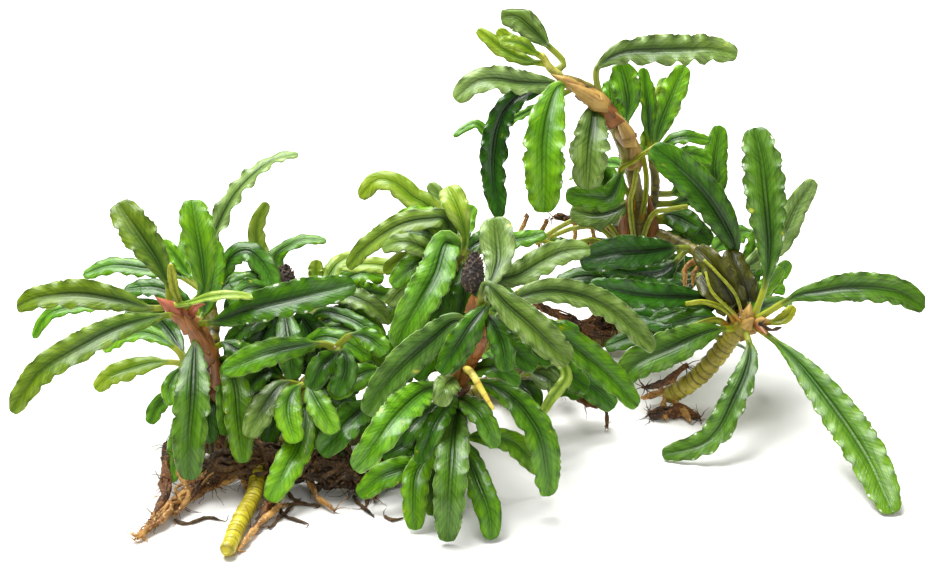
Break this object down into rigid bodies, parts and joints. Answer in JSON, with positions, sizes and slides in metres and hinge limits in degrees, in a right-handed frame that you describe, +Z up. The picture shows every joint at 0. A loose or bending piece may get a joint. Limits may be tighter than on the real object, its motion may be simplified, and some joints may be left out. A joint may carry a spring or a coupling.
{
  "type": "bucephalandra clump",
  "caption": "Creeping clump of a small water plant with wavy strap leaves on leafy shoots, lying on its roots.",
  "frame": {"origin": "on the surface that the clump lies on, below the middle of its bounding box", "axes": "+X along the clump's length towards its right shoot, +Y towards its back, +Z up"},
  "size_m": [0.2262, 0.1333, 0.0936],
  "materials": {
    "leaf_dark": "smooth waxy dark green leaf with a soft gloss",
    "leaf_grey_green": "waxy green leaf with a grey sheen",
    "leaf_green": "smooth waxy mid green leaf",
    "leaf_bright": "smooth bright green leaf",
    "leaf_young": "soft yellow-green young leaf",
    "side_shoot": "small green leaves on an olive stem",
    "rhizome": "ringed yellow-olive creeping stem, slightly glossy",
    "red_stem": "red-brown stem with dry sheaths",
    "root": "matt brown tangled roots",
    "spent_flower": "dry dark brown scaly knob",
    "flower_stalk": "smooth yellow flower stalk"
  },
  "bodies": {
    "root": {"left_leaf_5": "leaf_dark", "left_leaf_6": "leaf_dark", "left_leaf_7": "leaf_dark", "middle_leaf_2": "leaf_dark", "center_leaf_12": "leaf_dark", "deep_leaf_1": "leaf_dark", "deep_leaf_2": "leaf_dark", "tall_leaf_3": "leaf_dark", "tall_leaf_6": "leaf_dark", "right_leaf_1": "leaf_dark", "right_leaf_2": "leaf_dark", "right_leaf_4": "leaf_dark", "left_leaf_2": "leaf_grey_green", "center_leaf_2": "leaf_grey_green", "center_leaf_3": "leaf_grey_green", "center_leaf_4": "leaf_grey_green", "center_leaf_5": "leaf_grey_green", "center_leaf_7": "leaf_grey_green", "deep_leaf_3": "leaf_grey_green", "tall_leaf_1": "leaf_grey_green", "tall_leaf_5": "leaf_grey_green", "left_leaf_1": "leaf_green", "left_leaf_3": "leaf_green", "center_leaf_6": "leaf_green", "center_leaf_9": "leaf_green", "center_leaf_10": "leaf_green", "right_leaf_3": "leaf_green", "tall_leaf_2": "leaf_green", "left_leaf_4": "leaf_bright", "middle_leaf_1": "leaf_bright", "center_leaf_8": "leaf_bright", "center_leaf_11": "leaf_bright", "tall_leaf_4": "leaf_bright", "center_leaf_1": "leaf_young", "shoot_left": "side_shoot", "shoot_back_left": "side_shoot", "shoot_middle": "side_shoot", "shoot_middle_side": "side_shoot", "shoot_front": "side_shoot", "shoot_between": "side_shoot", "shoot_back": "side_shoot", "shoot_low": "side_shoot", "shoot_side": "side_shoot", "shoot_tall": "side_shoot", "shoot_tall_side": "side_shoot", "shoot_tip": "side_shoot", "shoot_link": "side_shoot", "shoot_right": "side_shoot", "rhizome": "rhizome", "rhizome_yellow": "rhizome", "stem_left": "red_stem", "stem_center": "red_stem", "root_mat": "root", "root_left": "root", "root_back": "root", "root_hook": "root", "root_right": "root", "knob_middle": "spent_flower", "knob_center": "spent_flower", "spike": "flower_stalk"}
  },
  "joints": []
}
